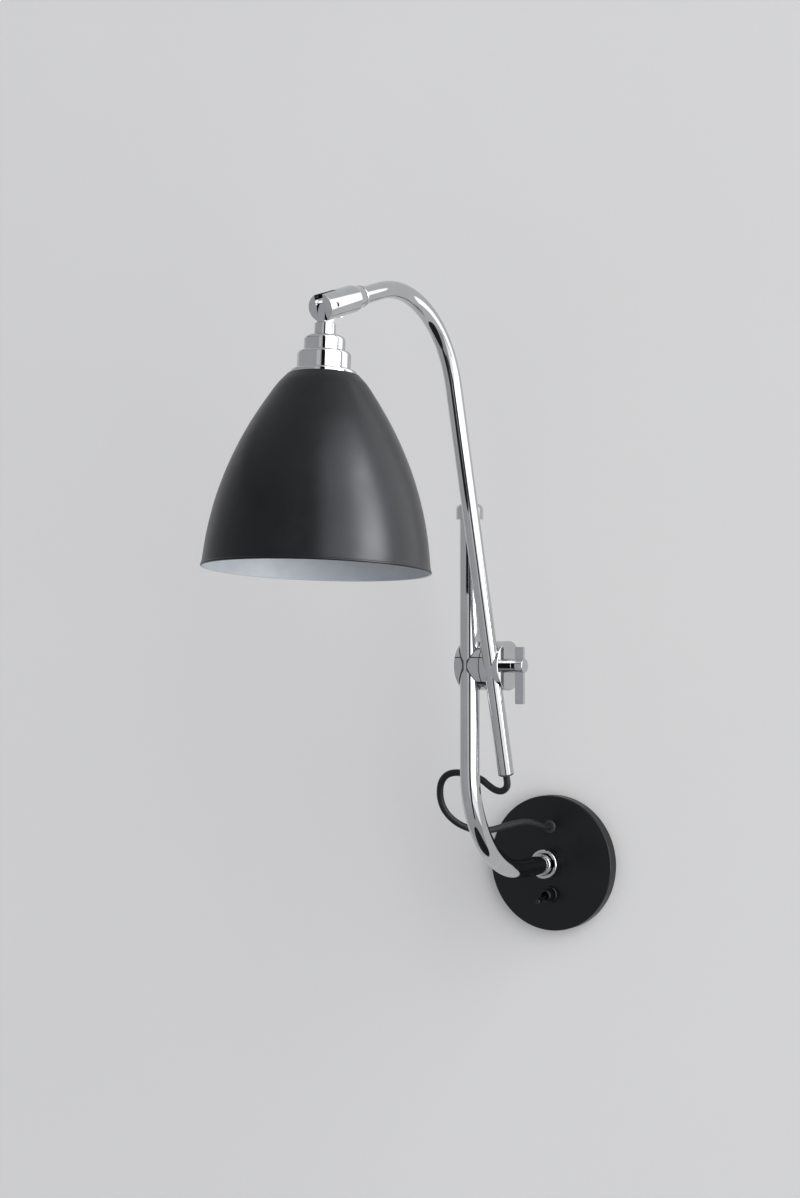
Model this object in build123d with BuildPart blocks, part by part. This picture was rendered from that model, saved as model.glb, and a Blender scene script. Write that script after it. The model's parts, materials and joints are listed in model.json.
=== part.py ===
from build123d import *
import os
from math import cos, pi, radians, sin, sqrt, tan

os.makedirs("parts", exist_ok=True)

# Articulating wall lamp, in millimetres. The wall is the plane Y = 0, the lamp stands out of it
# towards -Y, Z is up, and X is to the right of someone who faces the wall.
# The origin is the middle of the wall plate's back.

# ---------------------------------------------------------------- driving dimensions
# fits
running_gap = 0.06
seat_gap = 0.05

# wall plate, a turned cover over a mounting disc
plate_radius = 58.25
plate_depth = 10.3
plate_wall = 1.6
plate_edge_radius = 1.2
mount_thickness = 1.5
mount_disc_radius = 52.0
mount_cable_hole = 17.0
mount_screw_spacing = 72.0
mount_screw_hole = 2.5
tab_width = 14.0
tab_depth = 8.0
tab_clearance = 0.2
rim_screw_radius = 2.0
rim_screw_depth = 5.5
rim_screw_length = 4.0
rim_screw_sunk = 0.4

# bracket tube and what holds it in the plate
tube_radius = 8.0
tube_wall = 1.2
tube_standoff = 148.2
tube_bend_radius = 87.5
tube_top = 298.0
tube_tail = 3.0
collar_radius = 12.6
collar_height = 12.6
collar_web = 2.5
collar_bore = 10.2
collar_lip = 1.1
ferrule_radius = 9.3
ferrule_height = 18.5
ferrule_lip = 0.7
lock_nut_flats = 27.0
lock_nut_height = 3.6
lock_washer_radius = 15.0
lock_washer_height = 1.0
cap_radius = 11.0
cap_height = 12.7
cap_crown = 4.8
cap_depth = 8.5

# flex and its grommet
cord_radius = 2.8
grommet_height = 31.4
grommet_neck_radius = 4.6
grommet_flange_radius = 5.6
grommet_front = 1.8
grommet_back = 1.2
grommet_crown = 1.25
cord_lead = 4.8
cord_bend_share = 0.45
inlet_tail = 2.0

# toggle switch
switch_drop = 27.2
switch_body_width = 13.0
switch_body_height = 12.0
switch_body_corner = 0.8
switch_bush_radius = 5.2
switch_bush_bore = 3.5
switch_bush_height = 9.5
switch_bush_edge = 0.6
switch_nut_radius = 7.4
switch_nut_height = 2.2
switch_nut_edge = 0.5
dolly_pivot_height = 4.0
dolly_ball_radius = 2.9
dolly_length = 20.0
dolly_root_radius = 1.3
dolly_tip_radius = 2.1
dolly_lean = 12.0

# terminal block
terminal_width = 24.0
terminal_height = 11.0
terminal_depth = 6.4
terminal_pitch = 8.0
terminal_x = -30.0
terminal_z = 16.0
terminal_screw_radius = 1.7
terminal_screw_depth = 3.8
terminal_corner = 1.0

# clamp, two blocks on one bolt
hub_height = 171.45
hub_radius = 20.0
hub_edge = 0.6
liner_wall = 0.54
liner_slit = 3.0
tube_cover = 0.35
block_left_end = -10.2
block_split = 12.4
block_right_end = 30.0
washer_thickness = 0.7
washer_radius = 19.3
bolt_radius = 3.0
bolt_head_radius = 6.2
bolt_head_height = 3.1
bolt_head_sunk = 0.2
bolt_slot_width = 1.6
bolt_slot_depth = 1.4
bolt_reach = 1.6

# clamp lever
thrust_thickness = 4.2
thrust_edge = 0.3
lever_boss_radius = 5.65
lever_boss_length = 10.0
lever_boss_edge = 0.5
blade_width = 6.8
blade_thickness = 4.1
blade_up = 15.0
blade_down = 30.7
blade_lean = 8.6
blade_from_end = 1.2
blade_corner = 0.6

# arm
arm_radius = 6.5
arm_wall = 1.0
arm_x = 21.4
arm_peek = 0.04
arm_tilt = 15.24
arm_below = 86.3
arm_above = 229.9
arm_bend_radius = 83.4
arm_bend_angle = 92.0
gland_lip_radius = 6.2
gland_lip = 1.6
gland_depth = 9.0
gland_edge = 0.5

# head sleeve at the arm's tip, its places measured along the sleeve from the end of the bend
bead_place = 20.6
bead_width = 2.4
bead_radius = 7.6
bead_edge = 0.45
sleeve_root = 23.6
sleeve_root_radius = 7.5
sleeve_shoulder = 33.5
sleeve_end = 81.7
sleeve_radius = 9.4
sleeve_edge = 0.4
slot_length = 18.0
slot_width = 6.5
slot_end_wall = 1.2
pivot_inset = 7.4
pin_radius = 2.0
sleeve_screw_place = 58.5
sleeve_screw_radius = 2.0
sleeve_screw_proud = 0.7

# head, its places measured along the shade's axis from the rim
shade_tilt = 3.66
tongue_thickness = 6.3
tongue_radius = 5.7
neck_radius = 7.5
neck_shoulder = 12.4
neck_length = 7.7
neck_edge = 0.4
stub_radius = 5.0
stub_length = 8.0
wire_bore = 2.6
wire_bore_end = 1.5
holder_cap_height = 9.6
holder_cap_radius = 14.6
holder_cap_crown = 3.4
holder_wall = 1.2
skirt_above_shade = 17.0
skirt_length = 40.0
skirt_radius = 19.0
skirt_crown = 2.6
carrier_radius = 23.5
carrier_height = 3.4
carrier_crown = 2.0
shade_height = 140.0
shade_top_radius = 25.6
shade_rim_radius = 80.0
shade_wall = 1.0
shade_bead = 1.0
retainer_radius = 23.0
retainer_height = 6.0
retainer_ribs = 24
retainer_flute = 0.9
core_cavity_radius = 14.0
core_cavity_depth = 25.0
core_top_gap = 3.0
core_recess = 1.0
screw_shell_wall = 0.4
screw_shell_recess = 1.0
contact_radius = 4.5
contact_height = 1.0

# bulb
bulb_cap_radius = 13.1
bulb_cap_length = 23.0
bulb_cap_chamfer = 3.0
bulb_tip_radius = 4.0
bulb_tip_height = 1.8
bulb_radius = 30.0
bulb_length = 105.0
bulb_shoulder_angle = 25.0
bulb_neck_radius = 13.4
bulb_wall = 1.0

# ---------------------------------------------------------------- places worked out from them
front_face = plate_depth
rear_of_web = plate_depth - plate_wall
tab_outer = sqrt((plate_radius - plate_wall) ** 2 - (tab_width / 2) ** 2) - tab_clearance
liner_radius = tube_radius + running_gap + liner_wall
block_bore_radius = liner_radius + seat_gap
arm_bore_radius = arm_radius + running_gap

# the clamp's axis lies behind both tubes, so that each bore just opens at the clamp's front
hub_y = -tube_standoff + hub_radius - (tube_radius + tube_cover)
arm_offset = hub_radius - arm_radius + arm_peek
along_arm = Vector(0, -sin(radians(arm_tilt)), cos(radians(arm_tilt)))
out_of_arm = Vector(0, -cos(radians(arm_tilt)), -sin(radians(arm_tilt)))
arm_origin = Vector(arm_x, hub_y, hub_height) + out_of_arm * arm_offset
arm_foot = arm_origin - along_arm * arm_below
right_block_start = block_split + washer_thickness
boss_start = block_right_end + thrust_thickness
boss_end = boss_start + lever_boss_length
blade_end = boss_end - blade_from_end
blade_middle = blade_end - blade_width / 2

# the bend's end, where the sleeve's own axis begins
bend_turn = radians(arm_bend_angle)
bend_shift = out_of_arm * (1 - cos(bend_turn)) + along_arm * sin(bend_turn)
arm_tip = arm_origin + along_arm * arm_above + bend_shift * arm_bend_radius
along_sleeve = along_arm * cos(bend_turn) + out_of_arm * sin(bend_turn)
under_sleeve = Vector(1, 0, 0).cross(along_sleeve)
sleeve_axis = Axis(arm_tip, along_sleeve)
sleeve_section = Plane(origin=arm_tip, x_dir=along_sleeve, z_dir=(-1, 0, 0))
slot_bottom = sleeve_end - slot_length
tube_end = slot_bottom - slot_end_wall
pivot_place = sleeve_end - pivot_inset
pivot = arm_tip + along_sleeve * pivot_place

# the head's levels above the shade's rim
skirt_top = shade_height + skirt_above_shade
skirt_bottom = skirt_top - skirt_length
holder_top = skirt_top + holder_cap_height
neck_top = holder_top + neck_length
pivot_above_rim = neck_top + neck_shoulder

# the shade's axis, up through the pivot
shade_up = Vector(0, sin(radians(shade_tilt)), cos(radians(shade_tilt)))
rim_centre = pivot - shade_up * pivot_above_rim
shade_axis = Axis(rim_centre, shade_up)
head_section = Plane(origin=rim_centre, x_dir=(1, 0, 0), z_dir=Vector(1, 0, 0).cross(shade_up))


def head_level(height):
    """The plane across the shade's axis at a height above the rim."""
    return Plane(origin=rim_centre + shade_up * height, x_dir=(1, 0, 0), z_dir=shade_up)


def hub_plane(x):
    """The plane square to X at x, centred on the clamp's axis, with Y to its right and Z up."""
    return Plane(origin=(x, hub_y, hub_height), x_dir=(0, 1, 0), z_dir=(1, 0, 0))


# ---------------------------------------------------------------- wall plate
with BuildPart() as wall_plate:
    with BuildSketch(Plane.XZ):
        Circle(plate_radius)
    extrude(amount=plate_depth)
    fillet(wall_plate.faces().sort_by(Axis.Y)[0].edges(), plate_edge_radius)
    with BuildSketch(Plane.XZ):
        Circle(plate_radius - plate_wall)
    extrude(amount=rear_of_web, mode=Mode.SUBTRACT)
    with BuildSketch(Plane.XZ.offset(rear_of_web)):
        Circle(tube_radius + seat_gap)
        with Locations((0, grommet_height)):
            Circle(grommet_neck_radius + seat_gap)
        with Locations((0, -switch_drop)):
            Circle(switch_bush_radius + seat_gap)
    extrude(amount=plate_wall, mode=Mode.SUBTRACT)
    with BuildSketch(Plane.XY):
        with Locations((0, -rim_screw_depth)):
            Circle(rim_screw_radius + seat_gap)
    extrude(amount=plate_radius, both=True, mode=Mode.SUBTRACT)

# the disc screwed to the wall, with two bent tabs that the cover's grub screws bite into
with BuildPart() as mounting_plate:
    with BuildSketch(Plane.XZ):
        Circle(mount_disc_radius)
        Rectangle(tab_width, 2 * tab_outer)
        Circle(mount_cable_hole, mode=Mode.SUBTRACT)
        with GridLocations(mount_screw_spacing, 0, 2, 1):
            Circle(mount_screw_hole, mode=Mode.SUBTRACT)
    extrude(amount=mount_thickness)
    with BuildSketch(Plane.XZ):
        with GridLocations(0, 2 * tab_outer - mount_thickness, 1, 2):
            Rectangle(tab_width, mount_thickness)
    extrude(amount=tab_depth)
    with BuildSketch(Plane.XY):
        with Locations((0, -rim_screw_depth)):
            Circle(rim_screw_radius + seat_gap)
    extrude(amount=tab_outer, both=True, mode=Mode.SUBTRACT)

with BuildPart() as rim_screws:
    for side in (1, -1):
        screw_outer = Plane(
            origin=(0, -rim_screw_depth, side * (plate_radius - rim_screw_sunk)),
            x_dir=(1, 0, 0),
            z_dir=(0, 0, -side),
        )
        with BuildSketch(screw_outer):
            Circle(rim_screw_radius)
        extrude(amount=rim_screw_length)
        with BuildSketch(screw_outer):
            RegularPolygon(rim_screw_radius / 2, 6)
        extrude(amount=rim_screw_length / 2, mode=Mode.SUBTRACT)

with BuildPart() as terminal_block:
    with BuildSketch(Plane.XZ.offset(mount_thickness)):
        with Locations((terminal_x, terminal_z)):
            RectangleRounded(terminal_width, terminal_height, terminal_corner)
    extrude(amount=terminal_depth)
    with BuildSketch(Plane.XZ.offset(mount_thickness + terminal_depth)):
        with Locations((terminal_x, terminal_z)):
            with GridLocations(terminal_pitch, terminal_height / 2, 3, 2):
                Circle(terminal_screw_radius)
    extrude(amount=-terminal_screw_depth, mode=Mode.SUBTRACT)

# ---------------------------------------------------------------- bracket tube and its fixing
with BuildPart() as bracket_tube:
    with BuildLine(Plane.YZ):
        FilletPolyline(
            (-tube_tail, 0),
            (-tube_standoff, 0),
            (-tube_standoff, tube_top),
            radius=tube_bend_radius,
        )
    with BuildSketch(Plane.XZ.offset(tube_tail)):
        Circle(tube_radius)
        Circle(tube_radius - tube_wall, mode=Mode.SUBTRACT)
    sweep()

with BuildPart() as tube_collar:
    with BuildSketch(Plane.XZ.offset(front_face)):
        Circle(collar_radius)
    extrude(amount=collar_height)
    fillet(tube_collar.faces().sort_by(Axis.Y)[0].edges(), collar_lip)
    with BuildSketch(Plane.XZ.offset(front_face + collar_web)):
        Circle(collar_bore)
    extrude(amount=collar_height, mode=Mode.SUBTRACT)
    with BuildSketch(Plane.XZ.offset(front_face)):
        Circle(tube_radius + seat_gap)
    extrude(amount=collar_web, mode=Mode.SUBTRACT)

with BuildPart() as tube_ferrule:
    with BuildSketch(Plane.XZ.offset(front_face + collar_web)):
        Circle(ferrule_radius)
    extrude(amount=ferrule_height - collar_web)
    fillet(tube_ferrule.faces().sort_by(Axis.Y)[0].edges(), ferrule_lip)
    with BuildSketch(Plane.XZ.offset(front_face)):
        Circle(tube_radius + seat_gap)
    extrude(amount=ferrule_height, mode=Mode.SUBTRACT)

with BuildPart() as lock_washer:
    with BuildSketch(Plane.XZ.offset(rear_of_web - lock_washer_height)):
        Circle(lock_washer_radius)
        Circle(tube_radius + seat_gap, mode=Mode.SUBTRACT)
    extrude(amount=lock_washer_height)

with BuildPart() as lock_nut:
    with BuildSketch(Plane.XZ.offset(rear_of_web - lock_washer_height - lock_nut_height)):
        RegularPolygon(lock_nut_flats / 2, 6, major_radius=False)
        Circle(tube_radius + seat_gap, mode=Mode.SUBTRACT)
    extrude(amount=lock_nut_height)

with BuildPart() as tube_cap:
    cap_bottom = tube_top - cap_depth
    with BuildSketch(Plane((0, -tube_standoff, cap_bottom))):
        Circle(cap_radius)
    extrude(amount=cap_height)
    fillet(tube_cap.faces().sort_by(Axis.Z)[-1].edges(), cap_crown)
    with BuildSketch(Plane((0, -tube_standoff, cap_bottom))):
        Circle(tube_radius + seat_gap)
    extrude(amount=cap_depth + seat_gap, mode=Mode.SUBTRACT)

# ---------------------------------------------------------------- flex
with BuildPart() as cord_grommet:
    with BuildSketch(Plane.XZ.offset(front_face)):
        with Locations((0, grommet_height)):
            Circle(grommet_flange_radius)
    extrude(amount=grommet_front)
    fillet(cord_grommet.faces().sort_by(Axis.Y)[0].edges(), grommet_crown)
    with BuildSketch(Plane.XZ.offset(rear_of_web)):
        with Locations((0, grommet_height)):
            Circle(grommet_neck_radius)
    extrude(amount=plate_wall)
    with BuildSketch(Plane.XZ.offset(rear_of_web - grommet_back)):
        with Locations((0, grommet_height)):
            Circle(grommet_flange_radius)
    extrude(amount=grommet_back)
    with BuildSketch(Plane.XZ):
        with Locations((0, grommet_height)):
            Circle(cord_radius + seat_gap)
    extrude(amount=front_face + grommet_front, mode=Mode.SUBTRACT)

# from the arm's gland, round behind the bracket tube in one loop, to the plate's grommet
cord_start = arm_foot - along_arm * (gland_lip + seat_gap)
cord_route = [
    cord_start,
    cord_start - along_arm * cord_lead,
    (21.2, -123.9, 73.6),
    (16.4, -122.6, 69.2),
    (9.9, -122.3, 69.4),
    (3.6, -122.9, 73.0),
    (-5.2, -124.5, 80.4),
    (-30.3, -125.5, 84.7),
    (-44.1, -122.5, 75.0),
    (-46.0, -117.0, 53.9),
    (-35.3, -109.0, 38.9),
    (-19.5, -93.0, 31.7),
    (-10.8, -61.0, 36.6),
    (-5.0, -40.0, 38.0),
    (-0.6, -25.0, 33.0),
    (0, -18.5, grommet_height),
    (0, -(front_face + grommet_front + seat_gap), grommet_height),
]
cord_points = [Vector(point) for point in cord_route]
cord_runs = [b - a for a, b in zip(cord_points, cord_points[1:])]
cord_radii = [
    cord_bend_share * min(a.length, b.length) / tan(radians(a.get_angle(b)) / 2)
    for a, b in zip(cord_runs, cord_runs[1:])
]
print("cord radii", [round(radius, 1) for radius in cord_radii])

with BuildPart() as flex_cord:
    with BuildLine() as cord_line:
        FilletPolyline(*cord_points, radius=cord_radii)
    with BuildSketch(Plane(origin=cord_start, z_dir=-along_arm)):
        Circle(cord_radius)
    sweep()
cord_length = sum(edge.length for edge in cord_line.edges())
cord_volume = pi * cord_radius**2 * cord_length
print("cord length", round(cord_length, 1), "volume ratio", round(flex_cord.part.volume / cord_volume, 4))

# the same flex where it runs on through the grommet
with BuildPart() as inlet_cable:
    with BuildSketch(Plane.XZ.offset(front_face + grommet_front)):
        with Locations((0, grommet_height)):
            Circle(cord_radius)
    extrude(amount=-(grommet_front + plate_wall + grommet_back + inlet_tail))

# ---------------------------------------------------------------- toggle switch
with BuildPart() as switch_body:
    with BuildSketch(Plane.XZ.offset(mount_thickness + seat_gap)):
        with Locations((0, -switch_drop)):
            RectangleRounded(switch_body_width, switch_body_height, switch_body_corner)
    extrude(amount=rear_of_web - mount_thickness - 2 * seat_gap)

with BuildPart() as switch_bush:
    with BuildSketch(Plane.XZ.offset(rear_of_web)):
        with Locations((0, -switch_drop)):
            Circle(switch_bush_radius)
    extrude(amount=plate_wall + switch_bush_height)
    chamfer(switch_bush.faces().sort_by(Axis.Y)[0].edges(), switch_bush_edge)
    with BuildSketch(Plane.XZ.offset(rear_of_web)):
        with Locations((0, -switch_drop)):
            Circle(switch_bush_bore)
    extrude(amount=plate_wall + switch_bush_height, mode=Mode.SUBTRACT)

with BuildPart() as switch_nut:
    with BuildSketch(Plane.XZ.offset(front_face)):
        with Locations((0, -switch_drop)):
            Circle(switch_nut_radius)
    extrude(amount=switch_nut_height)
    chamfer(switch_nut.faces().sort_by(Axis.Y)[0].edges(), switch_nut_edge)
    with BuildSketch(Plane.XZ.offset(front_face)):
        with Locations((0, -switch_drop)):
            Circle(switch_bush_radius + seat_gap)
    extrude(amount=switch_nut_height, mode=Mode.SUBTRACT)

dolly_pivot = Vector(0, -(front_face + dolly_pivot_height), -switch_drop)
along_dolly = Vector(0, -cos(radians(dolly_lean)), -sin(radians(dolly_lean)))
dolly_section = Plane(origin=dolly_pivot, x_dir=along_dolly, z_dir=(-1, 0, 0))
with BuildPart() as switch_lever:
    with BuildSketch(dolly_section):
        with BuildLine():
            Line((0, 0), (0, dolly_root_radius))
            Line((0, dolly_root_radius), (dolly_length - dolly_tip_radius, dolly_tip_radius))
            RadiusArc(
                (dolly_length - dolly_tip_radius, dolly_tip_radius),
                (dolly_length, 0),
                dolly_tip_radius,
            )
            Line((dolly_length, 0), (0, 0))
        make_face()
    revolve(axis=Axis(dolly_pivot, along_dolly))
    with Locations(dolly_pivot):
        Sphere(dolly_ball_radius)

# ---------------------------------------------------------------- clamp
with BuildPart() as tube_liner:
    with BuildSketch(Plane((0, -tube_standoff, hub_height - hub_radius))):
        Circle(liner_radius)
        Circle(tube_radius + running_gap, mode=Mode.SUBTRACT)
        with Locations((0, -liner_radius)):
            Rectangle(liner_slit, liner_radius, mode=Mode.SUBTRACT)
    extrude(amount=2 * hub_radius)
    with BuildSketch(hub_plane(block_left_end)):
        Circle(hub_radius)
    extrude(amount=block_split - block_left_end, mode=Mode.INTERSECT)

with BuildPart() as clamp_block_left:
    with BuildSketch(hub_plane(block_left_end)):
        Circle(hub_radius)
    extrude(amount=block_split - block_left_end)
    fillet(clamp_block_left.faces().sort_by(Axis.X)[0].edges(), hub_edge)
    with BuildSketch(Plane((0, -tube_standoff, hub_height))):
        Circle(block_bore_radius)
    extrude(amount=2 * hub_radius, both=True, mode=Mode.SUBTRACT)
    with BuildSketch(hub_plane(block_left_end)):
        Circle(bolt_radius + running_gap)
    extrude(amount=block_split - block_left_end, mode=Mode.SUBTRACT)
    with BuildSketch(hub_plane(block_left_end)):
        Circle(bolt_head_radius + seat_gap)
    extrude(amount=bolt_head_height, mode=Mode.SUBTRACT)

with BuildPart() as friction_washer:
    with BuildSketch(hub_plane(block_split)):
        Circle(washer_radius)
        Circle(bolt_radius + seat_gap, mode=Mode.SUBTRACT)
    extrude(amount=washer_thickness - seat_gap)

with BuildPart() as clamp_bolt:
    with BuildSketch(hub_plane(block_left_end + bolt_head_sunk)):
        Circle(bolt_head_radius)
    extrude(amount=bolt_head_height - bolt_head_sunk)
    with BuildSketch(hub_plane(block_left_end + bolt_head_height)):
        Circle(bolt_radius)
    extrude(amount=boss_start + bolt_reach - block_left_end - bolt_head_height)
    with BuildSketch(hub_plane(block_left_end)):
        Rectangle(2 * bolt_head_radius, bolt_slot_width)
    extrude(amount=bolt_slot_depth, mode=Mode.SUBTRACT)

with BuildPart() as clamp_block_right:
    with BuildSketch(hub_plane(right_block_start)):
        Circle(hub_radius)
    extrude(amount=block_right_end - right_block_start)
    fillet(clamp_block_right.faces().sort_by(Axis.X)[-1].edges(), hub_edge)
    with BuildSketch(Plane(origin=arm_origin, x_dir=(1, 0, 0), z_dir=along_arm)):
        Circle(arm_bore_radius)
    extrude(amount=2 * hub_radius, both=True, mode=Mode.SUBTRACT)
    with BuildSketch(hub_plane(right_block_start)):
        Circle(bolt_radius + running_gap)
    extrude(amount=block_right_end - right_block_start, mode=Mode.SUBTRACT)

# ---------------------------------------------------------------- clamp lever
with BuildPart() as thrust_washer:
    with BuildSketch(hub_plane(block_right_end + seat_gap)):
        Circle(lever_boss_radius)
    extrude(amount=thrust_thickness - seat_gap)
    chamfer(thrust_washer.faces().sort_by(Axis.X)[-1].edges(), thrust_edge)
    with BuildSketch(hub_plane(block_right_end)):
        Circle(bolt_radius + running_gap)
    extrude(amount=thrust_thickness, mode=Mode.SUBTRACT)

blade_plane = Plane(origin=(blade_middle, hub_y, hub_height), x_dir=(0, 1, 0), z_dir=(1, 0, 0))
blade_plane = blade_plane.rotated((0, 0, blade_lean))
with BuildPart() as lever_boss:
    with BuildSketch(hub_plane(boss_start)):
        Circle(lever_boss_radius)
    extrude(amount=lever_boss_length)
    fillet(lever_boss.faces().sort_by(Axis.X)[-1].edges(), lever_boss_edge)
    with BuildSketch(hub_plane(boss_start)):
        Circle(bolt_radius + running_gap)
    extrude(amount=bolt_reach + seat_gap, mode=Mode.SUBTRACT)
    with BuildSketch(blade_plane):
        Rectangle(blade_thickness + 2 * seat_gap, 4 * lever_boss_radius)
    extrude(amount=blade_width / 2 + seat_gap, both=True, mode=Mode.SUBTRACT)

with BuildPart() as lever_blade:
    with BuildSketch(blade_plane):
        with Locations((0, (blade_up - blade_down) / 2)):
            Rectangle(blade_thickness, blade_up + blade_down)
    extrude(amount=blade_width / 2, both=True)
    fillet(lever_blade.faces().sort_by(Axis.Z)[0].edges(), blade_corner)
    fillet(lever_blade.faces().sort_by(Axis.Z)[-1].edges(), blade_corner)

# ---------------------------------------------------------------- arm
arm_plane = Plane(origin=arm_origin, x_dir=out_of_arm, z_dir=out_of_arm.cross(along_arm))
with BuildPart() as arm_tube:
    with BuildLine(arm_plane):
        arm_leg = Line((0, -arm_below), (0, arm_above))
        arm_bend = JernArc(arm_leg @ 1, arm_leg % 1, arm_bend_radius, -arm_bend_angle)
        Line(arm_bend @ 1, arm_bend @ 1 + (arm_bend % 1) * tube_end)
    with BuildSketch(Plane(origin=arm_foot, x_dir=(1, 0, 0), z_dir=along_arm)):
        Circle(arm_radius)
        Circle(arm_radius - arm_wall, mode=Mode.SUBTRACT)
    sweep()

gland_top = Plane(origin=arm_foot + along_arm * gland_depth, x_dir=(1, 0, 0), z_dir=-along_arm)
with BuildPart() as arm_gland:
    with BuildSketch(gland_top):
        Circle(arm_radius - arm_wall - seat_gap)
    extrude(amount=gland_depth)
    with BuildSketch(gland_top.offset(gland_depth)):
        Circle(gland_lip_radius)
    extrude(amount=gland_lip)
    chamfer(arm_gland.faces().sort_by(Axis(arm_foot, along_arm))[0].edges(), gland_edge)
    with BuildSketch(gland_top):
        Circle(cord_radius + seat_gap)
    extrude(amount=gland_depth + gland_lip, mode=Mode.SUBTRACT)

# the same flex where it runs on inside the arm
with BuildPart() as arm_cable:
    with BuildLine(arm_plane):
        cable_leg = Line((0, -arm_below), (0, arm_above))
        cable_bend = JernArc(cable_leg @ 1, cable_leg % 1, arm_bend_radius, -arm_bend_angle)
        Line(cable_bend @ 1, cable_bend @ 1 + (cable_bend % 1) * tube_end)
    with BuildSketch(Plane(origin=arm_foot, x_dir=(1, 0, 0), z_dir=along_arm)):
        Circle(cord_radius)
    sweep()

with BuildPart() as sleeve_bead:
    with BuildSketch(sleeve_section):
        with Locations((bead_place + bead_width / 2, (arm_radius + seat_gap + bead_radius) / 2)):
            RectangleRounded(bead_width, bead_radius - arm_radius - seat_gap, bead_edge)
    revolve(axis=sleeve_axis)

sleeve_slot = Plane(origin=arm_tip + along_sleeve * slot_bottom, x_dir=(1, 0, 0), z_dir=along_sleeve)
with BuildPart() as head_sleeve:
    with BuildSketch(sleeve_section):
        with BuildLine():
            Polyline(
                (sleeve_root, 0),
                (sleeve_root, sleeve_root_radius),
                (sleeve_shoulder, sleeve_radius),
                (sleeve_end, sleeve_radius),
                (sleeve_end, 0),
                close=True,
            )
        make_face()
    revolve(axis=sleeve_axis)
    fillet(head_sleeve.faces().sort_by(sleeve_axis)[-1].edges(), sleeve_edge)
    with BuildSketch(Plane(origin=arm_tip, x_dir=(1, 0, 0), z_dir=along_sleeve)):
        Circle(arm_radius + seat_gap)
    extrude(amount=tube_end + seat_gap, mode=Mode.SUBTRACT)
    with BuildSketch(sleeve_slot):
        Rectangle(slot_width, 4 * sleeve_radius)
    extrude(amount=slot_length, mode=Mode.SUBTRACT)
    with BuildSketch(Plane(origin=pivot, x_dir=(0, 1, 0), z_dir=(1, 0, 0))):
        Circle(pin_radius + seat_gap)
    extrude(amount=sleeve_radius, both=True, mode=Mode.SUBTRACT)
    with BuildSketch(
        Plane(origin=arm_tip + along_sleeve * sleeve_screw_place, x_dir=(1, 0, 0), z_dir=under_sleeve)
    ):
        Circle(sleeve_screw_radius + seat_gap)
    extrude(amount=2 * sleeve_radius, mode=Mode.SUBTRACT)

screw_seat = Plane(
    origin=arm_tip + along_sleeve * sleeve_screw_place + under_sleeve * (arm_radius + seat_gap),
    x_dir=(1, 0, 0),
    z_dir=under_sleeve,
)
screw_length = sleeve_radius - arm_radius + sleeve_screw_proud
with BuildPart() as sleeve_screw:
    with BuildSketch(screw_seat):
        Circle(sleeve_screw_radius)
    extrude(amount=screw_length)
    with BuildSketch(screw_seat.offset(screw_length)):
        RegularPolygon(sleeve_screw_radius / 2, 6)
    extrude(amount=-screw_length / 2, mode=Mode.SUBTRACT)

pin_half = sqrt(sleeve_radius**2 - pin_radius**2) - seat_gap
with BuildPart() as pivot_pin:
    with BuildSketch(Plane(origin=pivot, x_dir=(0, 1, 0), z_dir=(1, 0, 0))):
        Circle(pin_radius)
    extrude(amount=pin_half, both=True)

# ---------------------------------------------------------------- head
with BuildPart() as knuckle:
    with BuildSketch(head_level(holder_top)):
        Circle(neck_radius)
    extrude(amount=neck_length)
    chamfer(knuckle.faces().sort_by(shade_axis)[-1].edges(), neck_edge)
    with BuildSketch(head_level(holder_top - stub_length)):
        Circle(stub_radius)
    extrude(amount=stub_length)
    with BuildSketch(Plane(origin=pivot, x_dir=shade_up.cross(Vector(1, 0, 0)), z_dir=(1, 0, 0))):
        Circle(tongue_radius)
        with Locations((0, -neck_shoulder / 2)):
            Rectangle(2 * tongue_radius, neck_shoulder)
    extrude(amount=tongue_thickness / 2, both=True)
    with BuildSketch(Plane(origin=pivot, x_dir=(0, 1, 0), z_dir=(1, 0, 0))):
        Circle(pin_radius + running_gap)
    extrude(amount=tongue_thickness, both=True, mode=Mode.SUBTRACT)
    with BuildSketch(head_level(holder_top - stub_length)):
        Circle(wire_bore)
    extrude(amount=neck_length - wire_bore_end + stub_length, mode=Mode.SUBTRACT)

with BuildPart() as holder_cap:
    with BuildSketch(head_level(skirt_top)):
        Circle(holder_cap_radius)
    extrude(amount=holder_top - skirt_top)
    fillet(holder_cap.faces().sort_by(shade_axis)[-1].edges(), holder_cap_crown)
    with BuildSketch(head_level(skirt_top)):
        Circle(holder_cap_radius - holder_wall)
    extrude(amount=holder_top - skirt_top - 2 * holder_wall, mode=Mode.SUBTRACT)
    with BuildSketch(head_level(skirt_top)):
        Circle(stub_radius + seat_gap)
    extrude(amount=holder_top - skirt_top, mode=Mode.SUBTRACT)

with BuildPart() as holder_skirt:
    with BuildSketch(head_level(skirt_bottom)):
        Circle(skirt_radius)
    extrude(amount=skirt_top - skirt_bottom)
    fillet(holder_skirt.faces().sort_by(shade_axis)[-1].edges(), skirt_crown)
    with BuildSketch(head_level(skirt_bottom)):
        Circle(skirt_radius - holder_wall)
    extrude(amount=skirt_top - skirt_bottom - 2 * holder_wall, mode=Mode.SUBTRACT)
    with BuildSketch(head_level(skirt_bottom)):
        Circle(holder_cap_radius - 2 * holder_wall)
    extrude(amount=skirt_top - skirt_bottom, mode=Mode.SUBTRACT)

with BuildPart() as shade_ring:
    with BuildSketch(head_level(shade_height)):
        Circle(carrier_radius)
        Circle(skirt_radius + seat_gap, mode=Mode.SUBTRACT)
    extrude(amount=carrier_height)
    fillet(
        shade_ring.faces().sort_by(shade_axis)[-1].edges().sort_by(SortBy.LENGTH)[-1],
        carrier_crown,
    )

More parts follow.
